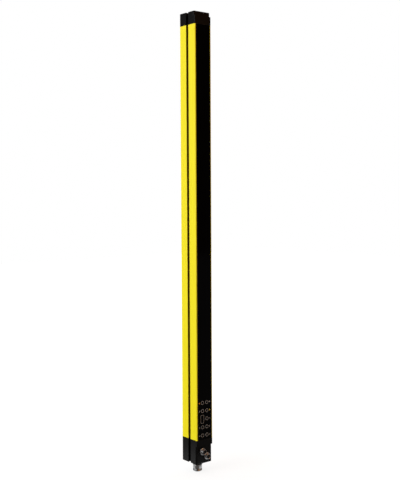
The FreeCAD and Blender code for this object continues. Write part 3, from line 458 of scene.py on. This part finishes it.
# A closed outline of (radius, height) is carried round an axis: point = centre + height * axis
# + radius * (cos(angle) * across + sin(angle) * up). Where a thread runs, the radius also changes
# by depth times a triangle wave of height / pitch - turns, fading in and out over one pitch.
def turnedGrid(outline, centre, axis, across, segments, thread=None):
    outline = np.asarray(outline, float)
    if thread:
        outline = stepsInThread(outline, thread["low"], thread["high"], thread["radii"],
                                thread["pitch"] / thread["rows"])
    axis, across = np.array(axis, float), np.array(across, float)
    up = np.cross(axis, across)
    turn = np.linspace(0, 1, segments, endpoint=False)
    radius = np.repeat(outline[:, :1], segments, axis=1)
    height = np.repeat(outline[:, 1:], segments, axis=1)
    if thread:
        wave = np.abs((height / thread["pitch"] - turn) % 1 - 0.5) * 2
        fade = np.clip((height - thread["low"]) / thread["pitch"], 0, 1) \
            * np.clip((thread["high"] - height) / thread["pitch"], 0, 1)
        onThread = (outline[:, :1] >= thread["radii"][0]) & (outline[:, :1] <= thread["radii"][1])
        radius = radius + thread["depth"] * wave * fade * onThread
    angle = 2 * np.pi * turn
    return (np.array(centre, float) + height[..., None] * axis
            + (radius * np.cos(angle))[..., None] * across
            + (radius * np.sin(angle))[..., None] * up)


# A strip lies on a plane: each point of a flat path is moved half the strip's width to either
# side along the path's normal, and stands by the strip's thickness out of the plane. Its foot is
# sunk a little, so that no gap shows under it.
def stripGrid(path, width, thickness, plane, closed, sunk=0.01):
    path = np.asarray(path, float)
    if closed:
        run = np.roll(path, -1, axis=0) - np.roll(path, 1, axis=0)
    else:
        run = np.gradient(path, axis=0)
    run = run / np.linalg.norm(run, axis=1, keepdims=True)
    side = np.stack([-run[:, 1], run[:, 0]], axis=1) * width / 2
    flat = np.stack([path - side, path + side, path + side, path - side], axis=1)
    out = np.array([-sunk, -sunk, thickness, thickness])
    return (np.array(plane["origin"]) + flat[..., :1] * np.array(plane["across"], float)
            + flat[..., 1:] * np.array(plane["up"], float)
            + out[None, :, None] * np.array(plane["out"], float))


rightwards, forwards, upwards = (1, 0, 0), (0, -1, 0), (0, 0, 1)
onRadius = 0.1  # a point this near a radius, in millimetres, counts as on it

# millimetres, with places along the barrel counted down from the cap's underside
connectorTurning = {
    "barrel": 11.5, "flange": 13.0, "neck": 10.5, "bore": 9.2, "flangeThickness": 2.3,
    "grooveFrom": 6.4, "grooveDepth": 0.9, "grooveWidth": 1.9,
    "threadFrom": 17.6, "threadTo": 23.6, "threadPitch": 1.0, "threadDepth": 0.42,
    "threadRows": 6, "leadIn": 1.1, "boreChamfer": 0.5, "soft": 0.25, "segments": 160,
    "ringRadius": 1.0, "ringSeat": 0.9, "ringSquash": (0.95, 0.92),
    "ringRows": 24, "ringSegments": 96,
}


def makeConnectorShell(sizes):
    low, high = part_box("main_connector_shell")
    centre = [(low.x + high.x) / 2 / millimetre, (low.y + high.y) / 2 / millimetre, 0]
    end, top = low.z / millimetre, high.z / millimetre
    flange = -sizes["flangeThickness"]
    barrel, bore, mouth = sizes["barrel"], sizes["bore"], sizes["boreChamfer"]
    groove, floorOfGroove = -sizes["grooveFrom"], barrel - sizes["grooveDepth"]
    outline = [
        (bore, top), (sizes["neck"], top), (sizes["neck"], 0), (sizes["flange"], 0),
        (sizes["flange"], flange), (barrel, flange), (barrel, groove),
        (floorOfGroove, groove), (floorOfGroove, groove - sizes["grooveWidth"]),
        (barrel, groove - sizes["grooveWidth"]), (barrel, -sizes["threadFrom"]),
        (barrel, -sizes["threadTo"]), (barrel, end + sizes["leadIn"]),
        (barrel - sizes["leadIn"], end), (bore + mouth, end), (bore, end + mouth),
    ]
    outline = softCorners(outline, sizes["soft"])
    thread = {"low": -sizes["threadTo"], "high": -sizes["threadFrom"],
              "pitch": sizes["threadPitch"], "rows": sizes["threadRows"],
              "depth": -sizes["threadDepth"], "radii": (barrel - onRadius, barrel + onRadius)}
    grid = turnedGrid(outline, centre, upwards, rightwards, sizes["segments"], thread)
    shell = gridPiece("turnedConnectorShell", [(grid, True, True)], "nickelPlate")
    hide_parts("main_connector_shell")

    # the sealing ring in the groove is a circle, a little squashed, carried round the barrel
    around = np.linspace(0, 2 * np.pi, sizes["ringRows"], endpoint=False)
    radius, (squashOut, squashAlong) = sizes["ringRadius"], sizes["ringSquash"]
    ring = np.stack([
        floorOfGroove + radius * sizes["ringSeat"] + radius * np.cos(around) * squashOut,
        groove - sizes["grooveWidth"] / 2 + radius * np.sin(around) * squashAlong], axis=1)
    ringGrid = turnedGrid(ring, centre, upwards, rightwards, sizes["ringSegments"])
    gridPiece("connectorSealingRing", [(ringGrid, True, True)], "nitrileRubber",
              sharpAngle=60)


makeConnectorShell(connectorTurning)


# Twelve pins stand in the connector: one in the middle, three round it, eight in the outer ring.
connectorPinning = {
    "radius": 0.5, "innerRing": 3.0, "outerRing": 6.8, "inner": 3, "outer": 8,
    "tipRows": 7, "poleRadius": 0.002, "segments": 20,
}


# A pin's outline runs from its axis at the root, up its side and over a rounded tip back to the
# axis, where a very small radius keeps the pole's points apart.
def pinOutline(sizes, root, tip):
    radius, pole = sizes["radius"], sizes["poleRadius"]
    bend = np.linspace(0, np.pi / 2, sizes["tipRows"])
    nose = np.stack([radius * np.cos(bend),
                     tip + np.sign(root - tip) * radius * (1 - np.sin(bend))], axis=1)
    nose[-1, 0] = pole
    return np.concatenate([[(pole, root), (radius, root)], nose])


def makeConnectorPins(sizes):
    low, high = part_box("main_connector_pins")
    middle = np.array([(low.x + high.x) / 2, (low.y + high.y) / 2]) / millimetre
    rings = [np.zeros((1, 2))]
    for ringName, countName in (("innerRing", "inner"), ("outerRing", "outer")):
        angle = 2 * np.pi * np.arange(sizes[countName]) / sizes[countName]
        rings.append(sizes[ringName] * np.stack([np.cos(angle), np.sin(angle)], axis=1))
    outline = pinOutline(sizes, high.z / millimetre, low.z / millimetre)
    grids = [(turnedGrid(outline, (*(middle + place), 0), upwards, rightwards,
                         sizes["segments"]), True, True) for place in np.concatenate(rings)]
    pins = gridPiece("roundedConnectorPins", grids, "goldPlate")
    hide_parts("main_connector_pins")


makeConnectorPins(connectorPinning)
print("main connector turned")

# millimetres, with places along the barrel counted back from its front end
socketTurning = {
    "neck": 6.9, "flange": 8.75, "barrel": 6.5, "bore": 5.6, "neckLength": 7.0,
    "flangeThickness": 4.0, "flangeChamfer": 0.7, "barrelChamfer": 0.5, "boreChamfer": 0.35,
    "soft": 0.2, "segments": 128, "threadFrom": 0.7, "threadTo": 6.6, "threadPitch": 1.0,
    "threadDepth": 0.38, "threadRows": 6, "rimRadius": 0.72, "rimThickness": 0.16,
    "rimRows": 12, "rimSegments": 32, "contactCircle": 2.6, "faceDepth": 1.2,
}


def makeSensorSocket(side, sizes):
    low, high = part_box(side + "_socket_shell")
    centre = [(low.x + high.x) / 2 / millimetre, 0, (low.z + high.z) / 2 / millimetre]
    back, front = -high.y / millimetre, -low.y / millimetre  # heights run out of the cap's front
    seat = back + sizes["neckLength"]
    shoulder = seat + sizes["flangeThickness"]
    bore, barrel, flange = sizes["bore"], sizes["barrel"], sizes["flange"]
    mouth = sizes["boreChamfer"]
    outline = [
        (bore, back), (sizes["neck"], back), (sizes["neck"], seat), (flange, seat),
        (flange, shoulder - sizes["flangeChamfer"]), (flange - sizes["flangeChamfer"], shoulder),
        (barrel, shoulder), (barrel, front - sizes["barrelChamfer"]),
        (barrel - sizes["barrelChamfer"], front), (bore + mouth, front), (bore, front - mouth),
        (bore, front - sizes["threadFrom"]), (bore, front - sizes["threadTo"]),
    ]
    outline = softCorners(outline, sizes["soft"])
    thread = {"low": front - sizes["threadTo"], "high": front - sizes["threadFrom"],
              "pitch": sizes["threadPitch"], "rows": sizes["threadRows"],
              "depth": sizes["threadDepth"], "radii": (bore - onRadius, bore + onRadius)}
    grid = turnedGrid(outline, centre, forwards, rightwards, sizes["segments"], thread)
    shell = gridPiece(side + "TurnedSocketShell", [(grid, True, True)],
                      "nickelPlateFront")
    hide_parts(side + "_socket_shell")

    # a thin raised rim, moulded with the insert, stands round each contact's hole in its face
    face = front - sizes["faceDepth"]
    around = np.linspace(0, 2 * np.pi, sizes["rimRows"], endpoint=False)
    rim = np.stack([sizes["rimRadius"] + sizes["rimThickness"] * np.cos(around),
                    face + sizes["rimThickness"] * np.sin(around)], axis=1)
    reach = sizes["contactCircle"]
    places = [(0, 0), (reach, 0), (-reach, 0), (0, reach), (0, -reach)]
    grids = [(turnedGrid(rim, (centre[0] + x, 0, centre[2] + z), forwards, rightwards,
                         sizes["rimSegments"]), True, True) for x, z in places]
    gridPiece(side + "SocketContactRims", grids, "contactMoulding",
              sharpAngle=60)


for side in ("upper", "lower"):
    makeSensorSocket(side, socketTurning)
print("sensor sockets turned")

# Millimetres, with heights counted from the column's foot. Each bar gives its start, end and
# height, each mark its side, row, place, radius and number of points, and each drop its side, row,
# place, radius and ink.
windowPrint = {
    "firstRow": 11.2, "rowPitch": 20.6, "rows": 5, "column": 7.0,
    "ringRadius": 4.0, "ringLine": 1.0, "ink": 0.04,
    "displayLeft": -12.6, "displayRight": -3.0, "displayLow": 42.4, "displayHigh": 62.4,
    "displayCorner": 2.4, "displayLine": 0.8,
    "sides": {"left": -16.6, "right": 15.4}, "markLine": 0.8,
    "barRow": 3, "bars": ((-1.6, 2.8, 1.5), (-0.6, 2.8, 0.0), (-1.6, 0.8, -1.5)),
    "marks": (("left", 1, -0.2, 1.1, 0.5, 16), ("left", 1, -0.2, -1.1, 0.5, 16),
              ("left", 0, -0.2, 0.0, 1.1, 24), ("right", 2, 0.0, 0.0, 1.7, 4),
              ("right", 1, 0.0, 1.6, 0.5, 16), ("right", 1, 0.0, 0.0, 0.5, 16),
              ("right", 1, 0.0, -1.6, 0.5, 16), ("right", 0, 0.0, 0.0, 1.7, 4)),
    "drops": {"orangeMark": ("left", 4, 0.0, 0.0, 2.0, "orangeInk"),
              "whiteMark": ("right", 4, 0.4, 0.4, 1.5, "whiteInk"),
              "yellowMark": ("right", 3, 0.4, 0.2, 1.8, "yellowInk")},
    "dropPoints": 32, "dropFill": 1.02, "leadReach": 2.6, "leadLine": 1.0,
}


# A circle of points, and a rounded rectangle whose corners are quarter circles of the given radius.
def circlePath(x, z, radius, count=48):
    angle = 2 * np.pi * np.arange(count) / count
    return np.stack([x + radius * np.cos(angle), z + radius * np.sin(angle)], axis=1)


def roundedPath(left, right, low, high, radius, steps=8):
    quarter = np.linspace(0, np.pi / 2, steps)
    corners = [(right - radius, high - radius, 0), (left + radius, high - radius, 1),
               (left + radius, low + radius, 2), (right - radius, low + radius, 3)]
    return np.concatenate([np.stack([x + radius * np.cos(quarter + turn * np.pi / 2),
                                     z + radius * np.sin(quarter + turn * np.pi / 2)], axis=1)
                           for x, z, turn in corners])


# A straight bar as a path of three points, so that it has a run at each of them.
def barPath(x0, z0, x1, z1):
    share = np.linspace(0, 1, 3)[:, None]
    return np.array([(x0, z0)]) * (1 - share) + np.array([(x1, z1)]) * share


def makeWindowPrint(sizes):
    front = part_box("front_window")[0].y / millimetre
    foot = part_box("column_profile")[0].z / millimetre
    plane = {"origin": (0, front, foot), "across": rightwards, "up": upwards, "out": forwards}
    rows = sizes["firstRow"] + sizes["rowPitch"] * np.arange(sizes["rows"])
    ink, line, sides = sizes["ink"], sizes["markLine"], sizes["sides"]
    middle = sizes["rows"] // 2
    rings = [circlePath(x, z, sizes["ringRadius"]) for step, z in enumerate(rows)
             for x in (-sizes["column"], sizes["column"]) if not (step == middle and x < 0)]
    grids = [(stripGrid(path, sizes["ringLine"], ink, plane, True), True, True) for path in rings]
    gridPiece("lampRings", grids, "greyInk", sharpAngle=50)

    outline = roundedPath(sizes["displayLeft"], sizes["displayRight"], sizes["displayLow"],
                          sizes["displayHigh"], sizes["displayCorner"])
    grids = [(stripGrid(outline, sizes["displayLine"], ink, plane, True), True, True)]
    gridPiece("displayOutline", grids, "greyInk", sharpAngle=50)

    # plain marks beside the lamps: bars, dots and small closed shapes that spell nothing
    left, barRow = sides["left"], rows[sizes["barRow"]]
    bars = [barPath(left + start, barRow + height, left + end, barRow + height)
            for start, end, height in sizes["bars"]]
    shapes = [circlePath(sides[side] + x, rows[row] + z, radius, points)
              for side, row, x, z, radius, points in sizes["marks"]]
    grids = [(stripGrid(path, line, ink, plane, False), False, True) for path in bars]
    grids += [(stripGrid(path, line, ink, plane, True), True, True) for path in shapes]
    gridPiece("greyMarks", grids, "greyInk", sharpAngle=50, caps=True)

    # the coloured marks are short fat drops: a circle of ink joined to a thin lead to the lamp
    for name, (side, row, right, up, radius, finish) in sizes["drops"].items():
        x, z = sides[side] + right, rows[row] + up
        toLamp = sizes["leadReach"] if x < 0 else -sizes["leadReach"]
        drop = stripGrid(circlePath(x, z, radius / 2, sizes["dropPoints"]),
                         radius * sizes["dropFill"], ink, plane, True)
        lead = stripGrid(barPath(x + toLamp / 3, z, x + toLamp, z), sizes["leadLine"], ink, plane,
                         False)
        gridPiece(name, [(drop, True, True), (lead, False, True)], finish,
                  sharpAngle=50, caps=True)


makeWindowPrint(windowPrint)
print("window printed")

# metres and watts, as the lamps and the floor stand round the whole object
studio = {
    "sky": 1.0, "skyColour": "#ffffff", "shade": 0.15, "shadeColour": "#ffb066",
    "shadeTowards": (0.25, -0.968, 0.0), "shadeFrom": -0.05, "shadeTo": 0.62,
    "mirrorLow": 0.06, "mirrorHigh": 1.0, "mirrorRise": (0.25, 0.8),
    "floorReach": 6.0, "floorGlow": (0.84, 1.0), "glowRamp": (0.15, 0.8),
    "floorColour": "#7c7c7c", "foot": (0.0, -0.03, -0.0251),
    # painted reflection on the floor: the bright pool round the foot, and the painted dark patch in
    # it
    "poolMiddle": (-0.03, 0.0, -0.0251), "pool": (0.10, 0.17), "poolEdge": 0.05,
    "darkReflection": (-0.80, -0.60, 0.0), "darkReflectionRamp": (0.45, 0.80),
    "softbox": {"place": (-2.2, 0.35, 0.9), "aim": (0, -0.03, 0.55), "size": (1.4, 1.6),
                "power": 29},
    "warmLamp": {"place": (0.25, -1.3, 1.9), "aim": (0, -0.06, 1.05), "size": (0.5, 0.5),
                 "power": 5.0, "colour": "#ffb46a"},
}


# Camera and glass rays see plain white. Every other ray sees a soft sky that falls off towards
# the front, by how far its direction points that way, and warms as it falls. Mirror rays see it
# dim near the horizon and white overhead, as a dark studio with a panel above it, which keeps
# black surfaces black.
def makeWorld(sizes):
    world = bpy.data.worlds.new("softStudio")
    world.use_nodes = True
    tree = world.node_tree
    tree.nodes.clear()
    direction = addNode(tree, "ShaderNodeTexCoord").outputs["Generated"]
    towards = addNode(tree, "ShaderNodeVectorMath",
                      {"operation": "DOT_PRODUCT", 1: sizes["shadeTowards"]}, {0: direction})
    falloff = addNode(tree, "ShaderNodeMapRange",
                      {"interpolation_type": "SMOOTHSTEP", "From Min": sizes["shadeFrom"],
                       "From Max": sizes["shadeTo"], "To Min": sizes["sky"],
                       "To Max": sizes["shade"]}, {"Value": towards.outputs["Value"]})
    height = addNode(tree, "ShaderNodeSeparateXYZ", None, {"Vector": direction})
    overhead = addNode(tree, "ShaderNodeMapRange",
                       {"interpolation_type": "SMOOTHSTEP", "From Min": sizes["mirrorRise"][0],
                        "From Max": sizes["mirrorRise"][1], "To Min": sizes["mirrorLow"],
                        "To Max": sizes["mirrorHigh"]}, {"Value": height.outputs["Z"]})
    rays = addNode(tree, "ShaderNodeLightPath")
    strength = addNode(tree, "ShaderNodeMix", {"data_type": "FLOAT"},
                       {0: rays.outputs["Is Glossy Ray"], 2: falloff.outputs["Result"],
                        3: overhead.outputs["Result"]})
    tint = addNode(tree, "ShaderNodeMix",
                   {"data_type": "RGBA", 6: linearColour(sizes["shadeColour"]),
                    7: linearColour(sizes["skyColour"])}, {0: falloff.outputs["Result"]})
    sky = addNode(tree, "ShaderNodeBackground", None,
                  {"Color": tint.outputs[2], "Strength": strength.outputs[0]})
    white = addNode(tree, "ShaderNodeBackground", {"Color": (1, 1, 1, 1), "Strength": 1.0})
    seen = addNode(tree, "ShaderNodeMath", {"operation": "MAXIMUM"},
                   {0: rays.outputs["Is Camera Ray"], 1: rays.outputs["Is Transmission Ray"]})
    mixed = addNode(tree, "ShaderNodeMixShader", None,
                    {0: seen.outputs["Value"], 1: sky.outputs[0], 2: white.outputs[0]})
    addNode(tree, "ShaderNodeOutputWorld", None, {"Surface": mixed.outputs[0]})
    bpy.context.scene.world = world


# The floor is dull pale paint that also glows for camera and glass rays, so it reads as white and
# still takes the object's shadow. For mirror rays the glow is a painted reflection: a bright pool
# round the object's foot that fades with the distance from the foot, with a painted dark patch
# across it to the front left. From underneath the floor isn't there, so the object's underside can
# be looked at.
def makeFloor(sizes):
    level = cadBox[0][2]
    reach = sizes["floorReach"]
    mesh = bpy.data.meshes.new("floor")
    mesh.from_pydata([(-reach, -reach, level), (reach, -reach, level), (reach, reach, level),
                      (-reach, reach, level)], [], [(0, 1, 2, 3)])
    material, tree = newTree("paleFloor")
    paint = addNode(tree, "ShaderNodeBsdfDiffuse", {"Color": linearColour(sizes["floorColour"])})
    rays = addNode(tree, "ShaderNodeLightPath")
    seen = addNode(tree, "ShaderNodeMath", {"operation": "MAXIMUM"},
                   {0: rays.outputs["Is Camera Ray"], 1: rays.outputs["Is Transmission Ray"]})
    place = addNode(tree, "ShaderNodeTexCoord").outputs["Object"]
    fromFoot = addNode(tree, "ShaderNodeVectorMath",
                       {"operation": "SUBTRACT", 1: sizes["foot"]}, {0: place})
    away = addNode(tree, "ShaderNodeVectorMath", {"operation": "LENGTH"},
                   {0: fromFoot.outputs["Vector"]})
    glowHere = addNode(tree, "ShaderNodeMapRange",
                       {"From Min": sizes["glowRamp"][0], "From Max": sizes["glowRamp"][1],
                        "To Min": sizes["floorGlow"][0], "To Max": sizes["floorGlow"][1]},
                       {"Value": away.outputs["Value"]})
    distance = addNode(tree, "ShaderNodeVectorMath",
                       {"operation": "DISTANCE", 1: sizes["poolMiddle"]}, {0: place})
    pool = addNode(tree, "ShaderNodeMapRange",
                   {"interpolation_type": "SMOOTHSTEP", "From Min": sizes["pool"][0],
                    "From Max": sizes["pool"][1], "To Min": 1.0, "To Max": sizes["poolEdge"]},
                   {"Value": distance.outputs["Value"]})
    unit = addNode(tree, "ShaderNodeVectorMath", {"operation": "NORMALIZE"},
                   {0: fromFoot.outputs["Vector"]})
    towardsDarkReflection = addNode(tree, "ShaderNodeVectorMath",
                          {"operation": "DOT_PRODUCT", 1: sizes["darkReflection"]},
                          {0: unit.outputs["Vector"]})
    darkReflection = addNode(tree, "ShaderNodeMapRange",
                   {"interpolation_type": "SMOOTHSTEP", "From Min": sizes["darkReflectionRamp"][0],
                    "From Max": sizes["darkReflectionRamp"][1], "To Min": 1.0, "To Max": 0.0},
                   {"Value": towardsDarkReflection.outputs["Value"]})
    # the painted reflection that mirror rays see: the pool, darkened by the painted dark patch
    lit = addNode(tree, "ShaderNodeMath", {"operation": "MULTIPLY"},
                  {0: pool.outputs["Result"], 1: darkReflection.outputs["Result"]})
    mirrored = addNode(tree, "ShaderNodeMath", {"operation": "MULTIPLY"},
                       {0: lit.outputs["Value"], 1: rays.outputs["Is Glossy Ray"]})
    seenToo = addNode(tree, "ShaderNodeMath", {"operation": "MAXIMUM"},
                      {0: seen.outputs["Value"], 1: mirrored.outputs["Value"]})
    strength = addNode(tree, "ShaderNodeMath", {"operation": "MULTIPLY"},
                       {0: seenToo.outputs["Value"], 1: glowHere.outputs["Result"]})
    glow = addNode(tree, "ShaderNodeEmission", {"Color": (1, 1, 1, 1)},
                   {"Strength": strength.outputs["Value"]})
    both = addNode(tree, "ShaderNodeAddShader", None, {0: paint.outputs[0], 1: glow.outputs[0]})
    side = addNode(tree, "ShaderNodeNewGeometry")
    nothing = addNode(tree, "ShaderNodeBsdfTransparent")
    oneSided = addNode(tree, "ShaderNodeMixShader", None,
                       {0: side.outputs["Backfacing"], 1: both.outputs[0], 2: nothing.outputs[0]})
    addNode(tree, "ShaderNodeOutputMaterial", None, {"Surface": oneSided.outputs[0]})
    mesh.materials.append(material)
    floor = bpy.data.objects.new("floor", mesh)
    bpy.context.scene.collection.objects.link(floor)


# A soft panel light stands at its place and faces its aim.
def makePanelLight(name, lamp):
    data = bpy.data.lights.new(name, "AREA")
    data.shape = "RECTANGLE"
    data.size, data.size_y = lamp["size"]
    data.energy = lamp["power"]
    data.color = linearColour(lamp.get("colour", "#ffffff"))[:3]
    light = bpy.data.objects.new(name, data)
    light.location = lamp["place"]
    facing = Vector(lamp["aim"]) - Vector(lamp["place"])
    light.rotation_euler = facing.to_track_quat("-Z", "Y").to_euler()
    bpy.context.scene.collection.objects.link(light)


makeWorld(studio)
makeFloor(studio)
makePanelLight("leftSoftbox", studio["softbox"])
makePanelLight("warmLamp", studio["warmLamp"])
bpy.context.scene.view_settings.view_transform = "Standard"
print("studio lit")
